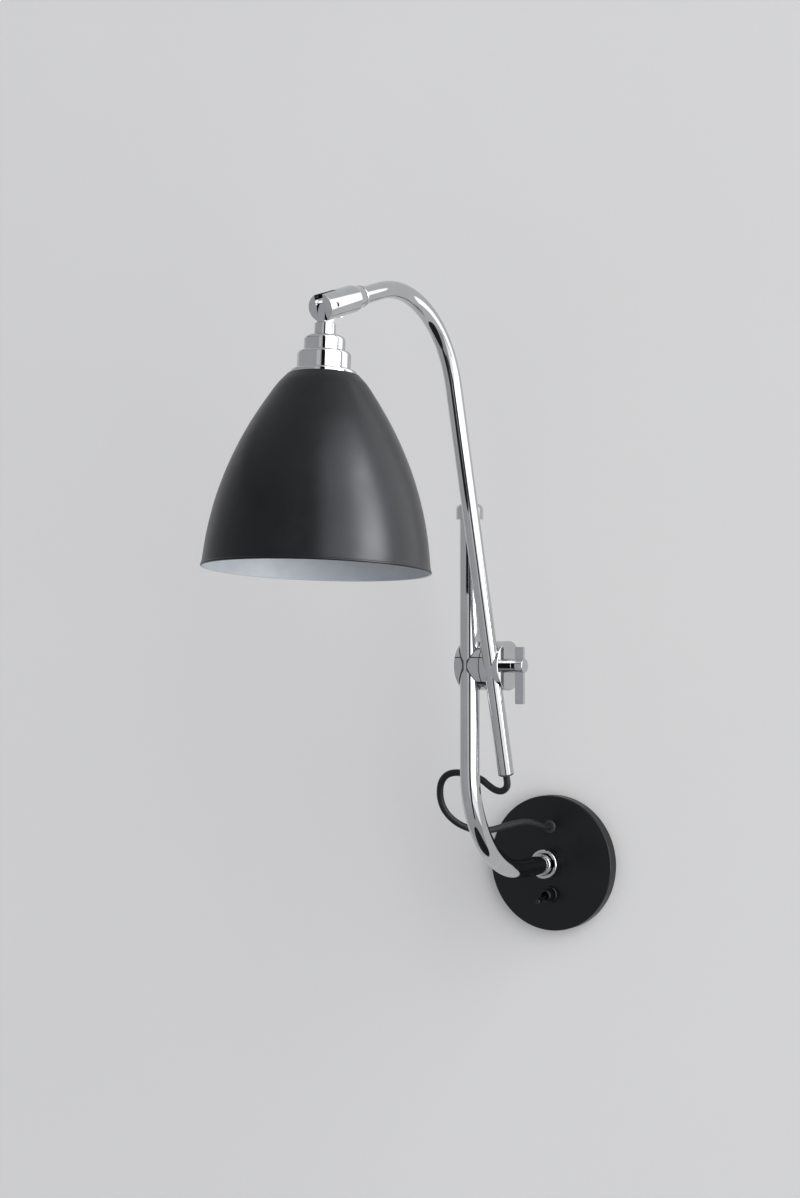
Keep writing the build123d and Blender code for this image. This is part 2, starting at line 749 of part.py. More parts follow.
shade_outline = [
    (shade_rim_radius, 0),
    (76.7, 25.7),
    (70.9, 51.1),
    (62.0, 76.5),
    (49.7, 102.0),
    (33.9, 127.4),
    (shade_top_radius, shade_height),
]
with BuildPart() as shade:
    with BuildSketch(head_section):
        with BuildLine():
            Spline(*shade_outline)
            Polyline(
                (shade_top_radius, shade_height),
                (0, shade_height),
                (0, 0),
                (shade_rim_radius, 0),
            )
        make_face()
    revolve(axis=shade_axis)
    offset(amount=-shade_wall, openings=shade.faces().sort_by(shade_axis)[0])
    with BuildSketch(head_level(shade_height / 2)):
        Circle(skirt_radius + seat_gap)
    extrude(amount=shade_height, mode=Mode.SUBTRACT)
    with BuildSketch(head_section):
        with Locations((shade_rim_radius - shade_bead / 2, shade_bead)):
            Circle(shade_bead)
    revolve(axis=shade_axis)

retainer_top = shade_height - shade_wall
with BuildPart() as retaining_ring:
    with BuildSketch(head_level(retainer_top)):
        Circle(retainer_radius)
        with PolarLocations(retainer_radius, retainer_ribs):
            Circle(retainer_flute, mode=Mode.SUBTRACT)
        Circle(skirt_radius + seat_gap, mode=Mode.SUBTRACT)
    extrude(amount=-retainer_height)

core_bottom = skirt_bottom + core_recess
core_top = skirt_top - 2 * holder_wall - core_top_gap
cavity_top = skirt_bottom + core_cavity_depth
with BuildPart() as holder_core:
    with BuildSketch(head_level(core_bottom)):
        Circle(skirt_radius - holder_wall - seat_gap)
    extrude(amount=core_top - core_bottom)
    with BuildSketch(head_level(core_bottom)):
        Circle(core_cavity_radius)
    extrude(amount=core_cavity_depth - core_recess, mode=Mode.SUBTRACT)
    with BuildSketch(head_level(core_top)):
        with PolarLocations(core_cavity_radius / 2, 2):
            Circle(wire_bore)
    extrude(amount=-(core_top - cavity_top) / 2, mode=Mode.SUBTRACT)

with BuildPart() as screw_shell:
    with BuildSketch(head_level(core_bottom + screw_shell_recess)):
        Circle(core_cavity_radius - seat_gap)
        Circle(core_cavity_radius - seat_gap - screw_shell_wall, mode=Mode.SUBTRACT)
    extrude(amount=core_cavity_depth - core_recess - 2 * screw_shell_recess)

with BuildPart() as centre_contact:
    with BuildSketch(head_level(cavity_top - contact_height)):
        Circle(contact_radius)
    extrude(amount=contact_height - seat_gap / 2)

# ---------------------------------------------------------------- bulb
bulb_top = cavity_top - contact_height - seat_gap
bulb_cap_top = bulb_top - bulb_tip_height
bulb_cap_bottom = bulb_cap_top - bulb_cap_length
bulb_middle = bulb_top - bulb_length + bulb_radius
with BuildPart() as bulb_cap:
    with BuildSketch(head_level(bulb_cap_bottom)):
        Circle(bulb_cap_radius)
    extrude(amount=bulb_cap_length)
    chamfer(bulb_cap.faces().sort_by(shade_axis)[-1].edges(), bulb_cap_chamfer)
    with BuildSketch(head_level(bulb_cap_top)):
        Circle(bulb_tip_radius)
    extrude(amount=bulb_tip_height)

# the ball reaches up to its shoulder, where the neck's curve takes over
shoulder_turn = radians(bulb_shoulder_angle)
midway_turn = (shoulder_turn - pi / 2) / 2
ball_edge = (bulb_radius * cos(shoulder_turn), bulb_middle + bulb_radius * sin(shoulder_turn))
with BuildPart() as bulb_glass:
    with BuildSketch(head_section):
        with BuildLine():
            ball = ThreePointArc(
                (0, bulb_middle - bulb_radius),
                (bulb_radius * cos(midway_turn), bulb_middle + bulb_radius * sin(midway_turn)),
                ball_edge,
            )
            neck = Spline(
                ball_edge,
                (bulb_neck_radius, bulb_cap_bottom - seat_gap),
                tangents=(ball % 1, (0, 1)),
            )
            Polyline(
                neck @ 1,
                (0, bulb_cap_bottom - seat_gap),
                (0, bulb_middle - bulb_radius),
            )
        make_face()
    revolve(axis=shade_axis)
    offset(amount=-bulb_wall, openings=bulb_glass.faces().sort_by(shade_axis)[-1])

# ---------------------------------------------------------------- write each piece
pieces = {
    "wall_plate": wall_plate,
    "mounting_plate": mounting_plate,
    "rim_screws": rim_screws,
    "terminal_block": terminal_block,
    "bracket_tube": bracket_tube,
    "tube_collar": tube_collar,
    "tube_ferrule": tube_ferrule,
    "lock_washer": lock_washer,
    "lock_nut": lock_nut,
    "tube_cap": tube_cap,
    "cord_grommet": cord_grommet,
    "flex_cord": flex_cord,
    "inlet_cable": inlet_cable,
    "switch_body": switch_body,
    "switch_bush": switch_bush,
    "switch_nut": switch_nut,
    "switch_lever": switch_lever,
    "tube_liner": tube_liner,
    "clamp_block_left": clamp_block_left,
    "friction_washer": friction_washer,
    "clamp_bolt": clamp_bolt,
    "clamp_block_right": clamp_block_right,
    "thrust_washer": thrust_washer,
    "lever_boss": lever_boss,
    "lever_blade": lever_blade,
    "arm_tube": arm_tube,
    "arm_gland": arm_gland,
    "arm_cable": arm_cable,
    "sleeve_bead": sleeve_bead,
    "head_sleeve": head_sleeve,
    "sleeve_screw": sleeve_screw,
    "pivot_pin": pivot_pin,
    "knuckle": knuckle,
    "holder_cap": holder_cap,
    "holder_skirt": holder_skirt,
    "shade_ring": shade_ring,
    "shade": shade,
    "retaining_ring": retaining_ring,
    "holder_core": holder_core,
    "screw_shell": screw_shell,
    "centre_contact": centre_contact,
    "bulb_cap": bulb_cap,
    "bulb_glass": bulb_glass,
}
for name, piece in pieces.items():
    piece.part.label = name
    export_step(piece.part, f"parts/{name}.step")
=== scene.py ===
import json
from math import cos, pi, radians, sin, tan

import bmesh
import bpy
from mathutils import Matrix, Vector


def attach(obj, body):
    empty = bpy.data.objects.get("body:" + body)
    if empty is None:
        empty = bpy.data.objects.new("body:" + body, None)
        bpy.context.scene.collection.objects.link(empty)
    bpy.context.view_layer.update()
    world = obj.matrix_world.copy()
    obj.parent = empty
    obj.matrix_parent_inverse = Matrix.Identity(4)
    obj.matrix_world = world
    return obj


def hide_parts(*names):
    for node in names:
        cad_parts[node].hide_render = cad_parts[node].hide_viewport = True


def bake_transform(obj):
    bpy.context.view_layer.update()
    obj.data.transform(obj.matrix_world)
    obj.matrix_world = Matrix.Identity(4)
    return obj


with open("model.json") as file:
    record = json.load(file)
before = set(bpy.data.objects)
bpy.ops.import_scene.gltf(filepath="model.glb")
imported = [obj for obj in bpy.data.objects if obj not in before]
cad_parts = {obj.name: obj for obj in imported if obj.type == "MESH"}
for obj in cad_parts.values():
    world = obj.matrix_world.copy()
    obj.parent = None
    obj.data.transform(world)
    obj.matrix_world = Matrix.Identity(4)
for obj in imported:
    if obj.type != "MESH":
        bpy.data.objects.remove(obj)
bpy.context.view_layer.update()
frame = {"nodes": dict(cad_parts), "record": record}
nodes = frame["nodes"]
scene = bpy.context.scene

# Articulating wall lamp. Lengths are written in millimetres and multiplied by MM where a mesh is made.
# The wall is Y = 0, the lamp stands out of it towards -Y, and Z is up.
MM = 0.001

# ---------------------------------------------------------------- camera
# angles in radians, and the focal length in pixels of the photograph
IMAGE_HEIGHT = 1198
CAMERA_PLACE = (795.5, -1523.1, 184.0)
CAMERA_TURN = 0.560
CAMERA_RISE = 0.026
FOCAL_PIXELS = 1965.1
SENSOR_WIDTH = 36
NEAREST, FARTHEST = 0.05, 50  # in metres


def make_camera():
    """The photograph's camera: its place, turned left by CAMERA_TURN and up by CAMERA_RISE."""
    data = bpy.data.cameras.new("camera")
    camera = bpy.data.objects.new("camera", data)
    scene.collection.objects.link(camera)
    scene.camera = camera
    level = cos(CAMERA_RISE)
    forward = Vector((-sin(CAMERA_TURN) * level, cos(CAMERA_TURN) * level, sin(CAMERA_RISE)))
    right = Vector((cos(CAMERA_TURN), sin(CAMERA_TURN), 0))
    up = right.cross(forward)
    turn = Matrix((right, up, -forward)).transposed()
    camera.matrix_world = Matrix.Translation(Vector(CAMERA_PLACE) * MM) @ turn.to_4x4()
    data.sensor_width = SENSOR_WIDTH
    data.lens = FOCAL_PIXELS * SENSOR_WIDTH / IMAGE_HEIGHT
    data.clip_start, data.clip_end = NEAREST, FARTHEST


make_camera()


# ---------------------------------------------------------------- node graphs
NOISE_DETAIL = 3.0


class Graph:
    """Short calls for building a node tree."""

    def __init__(self, tree):
        self.tree = tree
        tree.nodes.clear()

    def node(self, kind, **settings):
        made = self.tree.nodes.new(kind)
        for name, value in settings.items():
            setattr(made, name, value)
        return made

    def put(self, value, socket):
        """Links an output to the socket, or writes a plain value on it."""
        if isinstance(value, bpy.types.NodeSocket):
            self.tree.links.new(value, socket)
        else:
            socket.default_value = value

    def math(self, operation, *values):
        made = self.node("ShaderNodeMath", operation=operation)
        for value, socket in zip(values, made.inputs):
            self.put(value, socket)
        return made.outputs[0]

    def ramp(self, value, start, end, low=0.0, high=1.0):
        """The value's way from start to end, eased, as a number from low to high."""
        made = self.node("ShaderNodeMapRange", interpolation_type="SMOOTHSTEP")
        for place, given in enumerate((value, start, end, low, high)):
            self.put(given, made.inputs[place])
        return made.outputs[0]

    def window(self, value, start, end, soft):
        """1 where the value lies between start and end, easing to 0 over soft at each side."""
        rise = self.ramp(value, start - soft / 2, start + soft / 2)
        fall = self.ramp(value, end - soft / 2, end + soft / 2, 1.0, 0.0)
        return self.math("MULTIPLY", rise, fall)

    def finish(self, shading, kind="ShaderNodeOutputMaterial"):
        """Links the shading to a new output node."""
        self.put(shading, self.node(kind).inputs[0])

    def mix(self, share, first, second):
        made = self.node("ShaderNodeMix", data_type="RGBA")
        for given, socket in ((share, made.inputs[0]), (first, made.inputs[6]), (second, made.inputs[7])):
            self.put(given, socket)
        return made.outputs[2]

    def noise(self, scale, stretch=(1, 1, 1)):
        """Noise over the object, scale being its waves per metre."""
        place = self.node("ShaderNodeTexCoord").outputs["Object"]
        if stretch != (1, 1, 1):
            mapping = self.node("ShaderNodeMapping")
            self.put(place, mapping.inputs["Vector"])
            mapping.inputs["Scale"].default_value = stretch
            place = mapping.outputs[0]
        made = self.node("ShaderNodeTexNoise")
        self.put(place, made.inputs["Vector"])
        made.inputs["Scale"].default_value = scale
        made.inputs["Detail"].default_value = NOISE_DETAIL
        return made.outputs["Fac"]


def grey(value):
    return (value, value, value, 1)


def new_material(name):
    """A material and the empty graph to fill."""
    material = bpy.data.materials.new(name)
    material.use_nodes = True
    return material, Graph(material.node_tree)


# ---------------------------------------------------------------- materials
# a grain is its waves per metre, ROUGH_GRAIN the roughness's share of it, and bump a height in millimetres
materials = {}
DRIFT = (0.3, 0.7)
ROUGH_GRAIN = 0.37
BUMP_GRAIN = 2500
DULL = {"Specular_IOR_Level": 0.37, "Specular_Tint": (0.91, 0.94, 1.0, 1.0)}


def surface(name, low, high, rough, metallic=0.0, grain=400, bump=0.0, stretch=(1, 1, 1), **sockets):
    """A material whose colour drifts between low and high, and whose roughness drifts over a range."""
    material, g = new_material(name)
    shader = g.node("ShaderNodeBsdfPrincipled")
    drift = g.noise(grain, stretch=stretch)
    g.put(g.mix(g.ramp(drift, *DRIFT), (*low, 1), (*high, 1)), shader.inputs["Base Color"])
    g.put(g.ramp(g.noise(grain * ROUGH_GRAIN), *DRIFT, *rough), shader.inputs["Roughness"])
    shader.inputs["Metallic"].default_value = metallic
    for socket, value in sockets.items():
        shader.inputs[socket.replace("_", " ")].default_value = value
    if bump:
        made = g.node("ShaderNodeBump")
        made.inputs["Strength"].default_value = 1.0
        made.inputs["Distance"].default_value = bump * MM
        g.put(g.noise(BUMP_GRAIN, stretch=stretch), made.inputs["Height"])
        g.put(made.outputs[0], shader.inputs["Normal"])
    g.finish(shader.outputs[0])
    materials[name] = material


def make_materials():
    """The finishes under the record's slot names, and the paint inside the shade."""
    surface("chrome", (0.55, 0.556, 0.562), (0.585, 0.59, 0.596), (0.035, 0.06), 1.0, grain=60)
    enamel = (0.002, 0.002, 0.0024), (0.003, 0.003, 0.0034)
    surface("black_enamel", *enamel, (0.32, 0.36), bump=0.004, grain=150, **DULL)
    surface("shade_inside", (0.46, 0.49, 0.53), (0.49, 0.52, 0.56), (0.42, 0.5), bump=0.006, grain=120)
    zinc = (0.50, 0.51, 0.53), (0.60, 0.61, 0.62)
    surface("zinc_steel", *zinc, (0.28, 0.4), 1.0, grain=900, stretch=(1, 1, 0.1))
    surface("brass", (0.60, 0.42, 0.17), (0.70, 0.50, 0.22), (0.25, 0.36), 1.0, grain=700)
    surface("bulb_metal", (0.62, 0.62, 0.63), (0.70, 0.70, 0.71), (0.24, 0.34), 1.0, grain=700)
    plastic = (0.022, 0.022, 0.023), (0.03, 0.03, 0.031)
    surface("black_plastic", *plastic, (0.42, 0.55), bump=0.01, grain=500)
    surface("pale_plastic", (0.72, 0.71, 0.66), (0.78, 0.77, 0.73), (0.38, 0.5), bump=0.006, grain=300)
    rubber = (0.014, 0.014, 0.014), (0.022, 0.022, 0.022)
    surface("black_rubber", *rubber, (0.6, 0.75), bump=0.012, grain=800)
    sheath = (0.005, 0.005, 0.005), (0.008, 0.008, 0.008)
    surface("flex_sheath", *sheath, (0.5, 0.62), bump=0.02, grain=300, **DULL)
    surface("opal_glass", (0.84, 0.84, 0.82), (0.88, 0.88, 0.86), (0.22, 0.3), grain=80, Coat_Weight=0.4)


make_materials()

SLOT_OF = {row["node"]: row["material_slot"] for row in frame["record"]["subparts"]}
for name, node in nodes.items():
    for slot in node.material_slots:
        slot.material = materials[SLOT_OF[name]]


# ---------------------------------------------------------------- studio
# Directions are seen from the lamp, in degrees: turn is 0 straight out of the wall and 90 to the right,
# and rise is up. Distances in the studio are in metres. A radiance of 1 is as bright as white.
STUDIO_CENTRE = Vector((0.0, -0.25, 0.25))
LAMP_DISTANCE = 12.0
CARD_DISTANCE = 7.0
WALL_LEFT, WALL_RIGHT = -2.6, 1.35
WALL_BOTTOM, WALL_TOP = -1.3, 1.7
WALL_BEHIND = 0.0004
WALL_COLOUR = 0.73
WALL_DRIFT = 1.01
WALL_GRAIN = 3.0

# far softboxes: turns, rises and radiance
FAR_SOFTBOXES = {
    "key": ((40, 104), (-19.5, 60), 2.5),
    "key_skirt": ((46, 100), (-36, -19.5), 0.9),
    "key_core": ((82, 108), (-15, 44), 10.0),
}
# a dim softbox against the wall, just to the right of the picture
SIDE_PLACE = (0.50, -0.006, 0.60)
SIDE_SIZE = (0.53, 0.80)
SIDE_RADIANCE = 1.15

# the world's greys: below and above, then two patches by their turns, rises and the softness of each
SURROUNDINGS_LOW = (0.45, 0.45, 0.46, 1)
SURROUNDINGS_HIGH = (0.56, 0.56, 0.57, 1)
SURROUNDINGS_RISES = (-10, 60)
SURROUNDINGS_PATCHES = [
    ((0.47, 0.475, 0.495, 1), (-50, 22, 16), (-40, 28, 10)),
    ((0.70, 0.70, 0.71, 1), (3, 19, 5), (-30, 50, 10)),
]

# cards: the directions of their corners, two by two along each card
CARDS = {
    "card_upright": [(turn, rise) for rise in range(-50, 51, 10) for turn in (23, 39)],
    "card_rail": [(turn, rise) for turn in range(-100, 121, 10) for rise in (30, 34)],
    "card_floor": [(turn, rise) for turn in range(-180, 181, 15) for rise in (-60, -89.9)],
}
CARD_GRAIN = 2.0
CARD_COLOURS = (0.01, 0.02)


def towards(turn, rise):
    turn, rise = radians(turn), radians(rise)
    return Vector((sin(turn) * cos(rise), -cos(turn) * cos(rise), sin(rise)))


def make_world():
    """Even grey surroundings, paler above, with a bluer patch on the left and a paler strip in it."""
    world = bpy.data.worlds.new("studio")
    world.use_nodes = True
    scene.world = world
    g = Graph(world.node_tree)
    split = g.node("ShaderNodeSeparateXYZ")
    g.put(g.node("ShaderNodeTexCoord").outputs["Generated"], split.inputs[0])
    x, y, z = split.outputs
    turn = g.math("DEGREES", g.math("ARCTAN2", x, g.math("MULTIPLY", y, -1.0)))
    rise = g.math("DEGREES", g.math("ARCSINE", z))
    colour = g.mix(g.ramp(rise, *SURROUNDINGS_RISES), SURROUNDINGS_LOW, SURROUNDINGS_HIGH)
    for patch, turns, rises in SURROUNDINGS_PATCHES:
        share = g.math("MULTIPLY", g.window(turn, *turns), g.window(rise, *rises))
        colour = g.mix(share, colour, patch)
    background = g.node("ShaderNodeBackground")
    g.put(colour, background.inputs["Color"])
    g.finish(background.outputs[0], "ShaderNodeOutputWorld")


def softbox(name, place, shines, width, height, radiance):
    """A flat lamp at a place, shining along shines, which itself stays out of the picture."""
    data = bpy.data.lights.new(name, "AREA")
    data.shape = "RECTANGLE"
    data.size, data.size_y = width, height
    data.energy = radiance * width * height * pi
    lamp = bpy.data.objects.new(name, data)
    scene.collection.objects.link(lamp)
    turned = (-Vector(shines)).to_track_quat("Z", "Y").to_matrix().to_4x4()
    lamp.matrix_world = Matrix.Translation(place) @ turned
    lamp.visible_camera = False


def far_softbox(name, turns, rises, radiance):
    """A softbox far off, which covers the given turns and rises as seen from the lamp."""
    way = towards((turns[0] + turns[1]) / 2, (rises[0] + rises[1]) / 2)
    width = 2 * LAMP_DISTANCE * tan(radians(turns[1] - turns[0]) / 2)
    height = 2 * LAMP_DISTANCE * tan(radians(rises[1] - rises[0]) / 2)
    softbox(name, STUDIO_CENTRE + way * LAMP_DISTANCE, -way, width, height, radiance)


def flat_piece(name, verts, faces, material):
    """A flat piece of the studio."""
    mesh = bpy.data.meshes.new(name)
    mesh.from_pydata(verts, [], faces)
    mesh.materials.append(material)
    piece = bpy.data.objects.new(name, mesh)
    scene.collection.objects.link(piece)
    return piece


def dark_cards():
    """Black cards round the studio, which give the metal its dark edges and take no light away."""
    material, g = new_material("card_black")
    paint = g.node("ShaderNodeBsdfDiffuse")
    g.put(g.mix(g.noise(CARD_GRAIN), *map(grey, CARD_COLOURS)), paint.inputs["Color"])
    g.finish(paint.outputs[0])
    for name, corners in CARDS.items():
        verts = [STUDIO_CENTRE + towards(turn, rise) * CARD_DISTANCE for turn, rise in corners]
        faces = [(place, place + 1, place + 3, place + 2) for place in range(0, len(verts) - 2, 2)]
        card = flat_piece(name, verts, faces, material)
        card.visible_camera = False
        card.visible_diffuse = False
        card.visible_shadow = False


def make_wall():
    """The pale wall that the lamp hangs on, seen through from behind."""
    material, g = new_material("wall_paint")
    paint = g.node("ShaderNodeBsdfDiffuse")
    drift = g.ramp(g.noise(WALL_GRAIN), *DRIFT)
    g.put(g.mix(drift, grey(WALL_COLOUR), grey(WALL_COLOUR * WALL_DRIFT)), paint.inputs["Color"])
    clear = g.node("ShaderNodeBsdfTransparent")
    mixer = g.node("ShaderNodeMixShader")
    g.put(g.node("ShaderNodeNewGeometry").outputs["Backfacing"], mixer.inputs[0])
    g.put(paint.outputs[0], mixer.inputs[1])
    g.put(clear.outputs[0], mixer.inputs[2])
    g.finish(mixer.outputs[0])
    corners = [
        (WALL_LEFT, WALL_BEHIND, WALL_BOTTOM),
        (WALL_RIGHT, WALL_BEHIND, WALL_BOTTOM),
        (WALL_RIGHT, WALL_BEHIND, WALL_TOP),
        (WALL_LEFT, WALL_BEHIND, WALL_TOP),
    ]
    flat_piece("wall", corners, [(0, 1, 2, 3)], material)


make_world()
for name, (turns, rises, radiance) in FAR_SOFTBOXES.items():
    far_softbox(name, turns, rises, radiance)
softbox("side_panel", SIDE_PLACE, (0, -1, 0), *SIDE_SIZE, SIDE_RADIANCE)
dark_cards()
make_wall()


# ---------------------------------------------------------------- mesh helpers
SHARP_FROM = 32  # degrees between faces
JOIN_WITHIN = 1e-7  # metres
LATHE_SEGMENTS = 192


def add_piece(name, mesh, body, slot, looks=()):
    """A mesh as a piece that rides on a body and takes its finish from a slot of the record."""
    piece = bpy.data.objects.new(name, mesh)
    scene.collection.objects.link(piece)
    for look in looks or (slot,):
        mesh.materials.append(materials[look])
    if body:
        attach(piece, body)
    return piece


def tidy(mesh):
    """Joins points that meet, points the faces outwards and keeps only real edges sharp."""
    bm = bmesh.new()
    bm.from_mesh(mesh)
    bmesh.ops.remove_doubles(bm, verts=bm.verts, dist=JOIN_WITHIN)
    bmesh.ops.dissolve_degenerate(bm, edges=bm.edges, dist=JOIN_WITHIN)
    bmesh.ops.recalc_face_normals(bm, faces=bm.faces)
    bm.to_mesh(mesh)
    bm.free()
    mesh.shade_smooth()
    mesh.set_sharp_from_angle(angle=radians(SHARP_FROM))


def lathe(profile, start, axis, looks):
    """Turns a closed profile of (radius, height) about the axis through start.

    looks gives the material of each of the profile's sides.
    """
    axis = Vector(axis).normalized()
    across = axis.orthogonal().normalized()
    other = axis.cross(across)
    count = len(profile)
    verts, faces = [], []
    for step in range(LATHE_SEGMENTS):
        angle = 2 * pi * step / LATHE_SEGMENTS
        out = across * cos(angle) + other * sin(angle)
        verts += [(start + out * radius + axis * height) * MM for radius, height in profile]
        ring = step * count
        following = (step + 1) % LATHE_SEGMENTS * count
        for point in range(count):
            after = (point + 1) % count
            faces.append((ring + point, following + point, following + after, ring + after))
    mesh = bpy.data.meshes.new("lathe")
    mesh.from_pydata(verts, [], faces)
    mesh.polygons.foreach_set("material_index", looks * LATHE_SEGMENTS)
    tidy(mesh)
    return mesh


def reshaped(name, node, body, start, axis, change):
    """A copy of a CAD piece that replaces it, change turning each point's (radius, height) into new ones."""
    solid = nodes[node]
    mesh = solid.data.copy()
    mesh.transform(solid.matrix_world)
    mesh.materials.clear()
    for vertex in mesh.vertices:
        offset = vertex.co / MM - start
        height = offset.dot(axis)
        out = offset - axis * height
        new_radius, new_height = change(out.length, height)
        vertex.co = (start + axis * new_height + out.normalized() * new_radius) * MM
    piece = add_piece(name, mesh, body, SLOT_OF[node])
    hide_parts(node)


def tube_mesh(path, radius, sides):
    """A round tube along a path of points in metres, its rings turned as little as possible."""
    verts, faces = [], []
    ahead = (path[1] - path[0]).normalized()
    across = ahead.orthogonal().normalized()
    last = len(path) - 1
    for place, point in enumerate(path):
        new_ahead = (path[min(place + 1, last)] - path[max(place - 1, 0)]).normalized()
        across = (ahead.rotation_difference(new_ahead) @ across).normalized()
        ahead = new_ahead
        other = ahead.cross(across)
        for side in range(sides):
            angle = 2 * pi * side / sides
            verts.append(point + (across * cos(angle) + other * sin(angle)) * radius)
    for ring in range(0, last * sides, sides):
        for side in range(sides):
            after = (side + 1) % sides
            faces.append((ring + side, ring + after, ring + sides + after, ring + sides + side))
    faces.append(tuple(reversed(range(sides))))
    faces.append(tuple(range(last * sides, len(path) * sides)))
    mesh = bpy.data.meshes.new("tube")
    mesh.from_pydata(verts, [], faces)
    tidy(mesh)
    return mesh


# ---------------------------------------------------------------- the flex
CORD_RADIUS = 2.8 * MM
CORD_SIDES = 24
CORD_STEPS = 16
# the bodies at the far and near end of each length, from the plate outwards; the last three are CORD_LINK long
CORD_LINK = 37.5 * MM
CORD_LINKS = [("carriage", "root"), ("clamp", "carriage"), ("tilt", "clamp"), ("arm", "tilt")]
# the same points as the solid's route, in metres, from the arm's gland to the plate's grommet
CORD_ROUTE = [
    (0.0214, -0.126495, 0.083034),
    (0.0214, -0.125233, 0.078403),
    (0.0212, -0.1239, 0.0736),
    (0.0164, -0.1226, 0.0692),
    (0.0099, -0.1223, 0.0694),
    (0.0036, -0.1229, 0.0730),
    (-0.0052, -0.1245, 0.0804),
    (-0.0303, -0.1255, 0.0847),
    (-0.0441, -0.1225, 0.0750),
    (-0.0460, -0.1170, 0.0539),
    (-0.0353, -0.1090, 0.0389),
    (-0.0195, -0.0930, 0.0317),
    (-0.0108, -0.0610, 0.0366),
    (-0.0050, -0.0400, 0.0380),
    (-0.0006, -0.0250, 0.0330),
    (0.0, -0.0185, 0.0314),
    (0.0, -0.01215, 0.0314),
]


def spline_points(route):
    """Points along the smooth line that has the route's points as its control points."""
    curve = bpy.data.curves.new("route", "CURVE")
    curve.dimensions = "3D"
    curve.resolution_u = CORD_STEPS
    spline = curve.splines.new("NURBS")
    spline.points.add(len(route) - 1)
    for point, place in zip(spline.points, route):
        point.co = (*place, 1)
    spline.order_u = 3
    spline.use_endpoint_u = True
    carrier = bpy.data.objects.new("route", curve)
    scene.collection.objects.link(carrier)
    bpy.context.view_layer.update()
    line = bpy.data.meshes.new_from_object(carrier)
    points = [vertex.co.copy() for vertex in line.vertices]
    bpy.data.objects.remove(carrier)
    bpy.data.meshes.remove(line)
    bpy.data.curves.remove(curve)
    return points


def path_length(points):
    return sum((b - a).length for a, b in zip(points, points[1:]))


def cord_lengths(line):
    """Cuts the line into one path for each link, the first being what the others leave."""
    first = path_length(line) - (len(CORD_LINKS) - 1) * CORD_LINK
    paths = []
    start = 0
    for length in [first] + [CORD_LINK] * (len(CORD_LINKS) - 2):
        run = 0.0
        end = start
        while run < length:
            run += (line[end + 1] - line[end]).length
            end += 1
        paths.append(line[start : end + 1])
        start = end
    return paths + [line[start:]]


def make_cord():
    """The flex in four lengths, from the plate to the arm."""
    line = spline_points(CORD_ROUTE)[::-1]
    for number, (path, (far_body, near_body)) in enumerate(zip(cord_lengths(line), CORD_LINKS), 1):
        mesh = tube_mesh(path, CORD_RADIUS, CORD_SIDES)
        piece = add_piece(f"flex_{number}", mesh, None, "flex_sheath")
        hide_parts("flex_cord")
        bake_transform(piece)


make_cord()

# ---------------------------------------------------------------- shade
SHADE_TILT = 3.66
SHADE_PIVOT = Vector((21.4, -386.193, 425.416))
PIVOT_ABOVE_RIM = 186.7
SHADE_UP = Vector((0, sin(radians(SHADE_TILT)), cos(radians(SHADE_TILT))))
RIM_CENTRE = SHADE_PIVOT - SHADE_UP * PIVOT_ABOVE_RIM
SHADE_HEIGHT = 137.2
SHADE_RIM = 80.0
SHADE_TOP = 25.6
SHADE_WALL = 1.0
SHADE_BEAD = 1.0
SHADE_HOLE = 19.05
# (radius, height above the rim)
SHADE_OUTLINE = [
    (SHADE_RIM, 0.0),
    (76.7, 25.7),
    (70.9, 51.1),
    (62.0, 76.5),
    (49.7, 102.0),
    (33.9, 127.4),
    (SHADE_TOP, SHADE_HEIGHT),
]
OUTLINE_STEPS = 12
# the rolled bead's section, in degrees from straight outwards, its first steps with the paint of the inside
BEAD_FROM, BEAD_SWEEP = -140, 200
BEAD_STEPS = 14
BEAD_PALE_STEPS = 4
ABOVE_BEAD = 2.2 * SHADE_BEAD
CORNER_INSET = 0.2


def smooth_outline(points):
    """A curve through the points, with each tangent along its neighbours."""
    places = [Vector(point) for point in points]
    last = len(places) - 1
    tangents = []
    for place in range(len(places)):
        chord = places[min(place + 1, last)] - places[max(place - 1, 0)]
        tangents.append(chord / (2 if 0 < place < last else 1))
    curve = []
    for (a, b), (ta, tb) in zip(zip(places, places[1:]), zip(tangents, tangents[1:])):
        for step in range(OUTLINE_STEPS):
            t = step / OUTLINE_STEPS
            curve.append(
                a * (2 * t**3 - 3 * t**2 + 1)
                + ta * (t**3 - 2 * t**2 + t)
                + b * (3 * t**2 - 2 * t**3)
                + tb * (t**3 - t**2)
            )
    return curve + [places[-1]]


def shade_bead():
    """The rolled bead's points, from the inside round to the outside."""
    points = []
    for step in range(BEAD_STEPS + 1):
        angle = radians(BEAD_FROM + BEAD_SWEEP * step / BEAD_STEPS)
        out, up = SHADE_BEAD * cos(angle), SHADE_BEAD * sin(angle)
        points.append((SHADE_RIM - SHADE_BEAD / 2 + out, SHADE_BEAD + up))
    return points


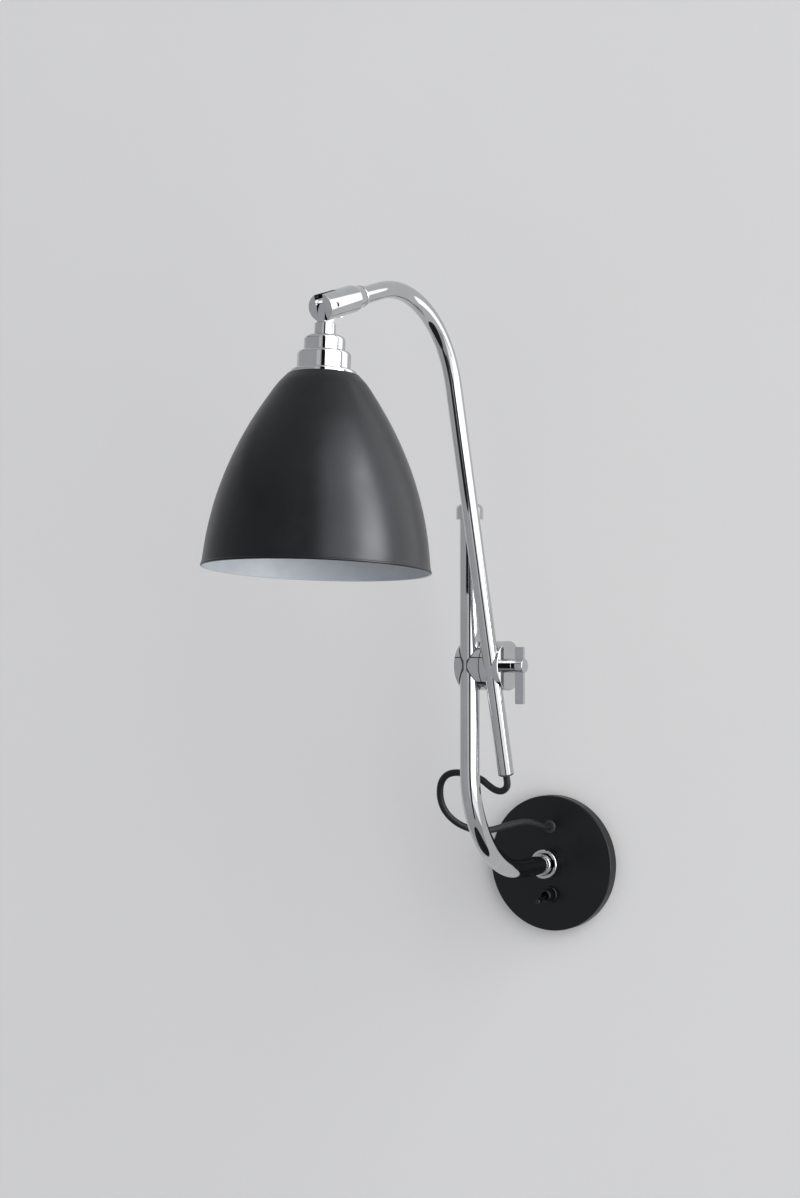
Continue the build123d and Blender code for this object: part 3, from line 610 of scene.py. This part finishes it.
def make_shade():
    """The turned shade: black outside with a rolled rim, pale inside."""
    outer = smooth_outline(SHADE_OUTLINE)
    inner = []
    for place, point in enumerate(outer):
        along = (outer[min(place + 1, len(outer) - 1)] - outer[max(place - 1, 0)]).normalized()
        inner.append(point + Vector((-along.y, along.x)) * SHADE_WALL)
    under_top = SHADE_HEIGHT - SHADE_WALL
    bead = shade_bead()
    outside = [tuple(point) for point in outer if point.y > ABOVE_BEAD]
    inside = [tuple(point) for point in inner if SHADE_BEAD < point.y < under_top][::-1]
    top = [(SHADE_HOLE, SHADE_HEIGHT), (SHADE_HOLE, under_top), (inside[0][0] - CORNER_INSET, under_top)]
    profile = bead + outside + top + inside
    pale = len(top) - 1 + len(inside)
    black = len(profile) - pale - BEAD_PALE_STEPS
    looks = [1] * BEAD_PALE_STEPS + [0] * black + [1] * pale
    mesh = lathe(profile, RIM_CENTRE, SHADE_UP, looks)
    piece = add_piece("shade_shell", mesh, "head", "black_enamel", ("black_enamel", "shade_inside"))
    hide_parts("shade")


make_shade()

# ---------------------------------------------------------------- head
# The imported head's pieces, set to the photograph's places. Heights are along the sleeve from the arm's tip,
# and above the shade's rim for what the shade hangs on. The sleeve's points beyond OUTSIDE move out by FULLER.
ARM_TIP = Vector((21.4, -315.231, 447.436))
ALONG_SLEEVE = Vector((0, -0.955072, -0.296375)).normalized()
OUTSIDE = 7.0
FULLER = 0.5
SHOULDER_SHIFT = 7.6
SHOULDER_BELOW = 45.0
RING_DROP = 2.8
SKIRT_DROP = 3.0
SKIRT_MOVES_ABOVE = 147.0
CAP_DROP = 1.4
CAP_FOOT_BELOW = 158.0
NECK_FOOT_BELOW = 167.6


def sleeve_shape(radius, height):
    """The sleeve's root and shoulder nearer the head, and its barrel fuller."""
    return bead_shape(radius, height) if height < SHOULDER_BELOW else (fuller(radius), height)


def bead_shape(radius, height):
    return fuller(radius), height + SHOULDER_SHIFT


def fuller(radius):
    return radius + (FULLER if radius > OUTSIDE else 0)


def ring_shape(radius, height):
    return radius, height - RING_DROP


def skirt_shape(radius, height):
    return radius, height - (SKIRT_DROP if height > SKIRT_MOVES_ABOVE else 0)


def cap_shape(radius, height):
    return radius, height - (SKIRT_DROP if height < CAP_FOOT_BELOW else CAP_DROP)


def neck_shape(radius, height):
    return radius, height - (CAP_DROP if height < NECK_FOOT_BELOW else 0)


def make_head():
    """The sleeve, its bead, the shade's rings and the holder's steps."""
    for name, node, change in (
        ("sleeve_barrel", "head_sleeve", sleeve_shape),
        ("sleeve_ferrule", "sleeve_bead", bead_shape),
    ):
        reshaped(name, node, "arm", ARM_TIP, ALONG_SLEEVE, change)
    for name, node, change in (
        ("skirt_shell", "holder_skirt", skirt_shape),
        ("cap_shell", "holder_cap", cap_shape),
        ("neck", "knuckle", neck_shape),
        ("shade_flange", "shade_ring", ring_shape),
        ("inner_ring", "retaining_ring", ring_shape),
    ):
        reshaped(name, node, "head", RIM_CENTRE, SHADE_UP, change)


make_head()

scene.view_settings.view_transform = "Standard"
